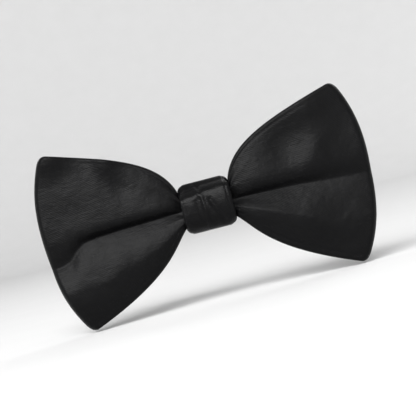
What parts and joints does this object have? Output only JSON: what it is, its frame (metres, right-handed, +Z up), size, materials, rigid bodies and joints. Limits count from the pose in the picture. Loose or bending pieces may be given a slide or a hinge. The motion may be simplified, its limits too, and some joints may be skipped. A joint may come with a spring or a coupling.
{
  "type": "bow tie",
  "caption": "Pre-tied black satin bow tie: a gathered loop with two flared wings and a wrapped knot, and a hidden spring clip that grips a shirt collar.",
  "frame": {"origin": "middle of the clip plate's gripping face, behind the knot", "axes": "+X to the viewer's right along the wings, +Y backwards to the wearer's collar, +Z up; the bow faces -Y"},
  "size_m": [0.1206, 0.0223, 0.0656],
  "materials": {
    "satin": "black satin weave with a soft sheen",
    "lining_satin": "black satin, less lustrous",
    "interlining": "plain woven canvas",
    "padding": "matt black felt",
    "thread": "twisted black sewing thread",
    "clip_steel": "nickel-plated stamped sheet",
    "spring_steel": "drawn spring wire"
  },
  "bodies": {
    "bow": {"bow_face_ply": "satin", "bow_interlining": "interlining", "bow_lining_ply": "lining_satin", "top_seam_thread": "thread", "bottom_seam_thread": "thread", "waist_binding_thread": "thread", "knot_padding": "padding", "knot_sleeve": "satin", "sleeve_stitches": "thread", "clip_plate": "clip_steel", "hinge_pin_left": "clip_steel", "hinge_pin_right": "clip_steel", "jaw_spring_left": "spring_steel", "jaw_spring_right": "spring_steel"},
    "left_jaw": {"jaw_left": "clip_steel"},
    "right_jaw": {"jaw_right": "clip_steel"}
  },
  "joints": [
    {"name": "left_jaw_hinge", "type": "hinge", "parent": "bow", "child": "left_jaw", "pos_m": [-0.018, 0.0024, 0], "axis": [0, 0, -1], "range_deg": [0, 35], "stiffness_Nm_per_rad": 0.05, "springref_deg": -57.3, "deforming": ["jaw_spring_left"]},
    {"name": "right_jaw_hinge", "type": "hinge", "parent": "bow", "child": "right_jaw", "pos_m": [0.018, 0.0024, 0], "axis": [0, 0, 1], "range_deg": [0, 35], "stiffness_Nm_per_rad": 0.05, "springref_deg": -57.3, "deforming": ["jaw_spring_right"]}
  ]
}
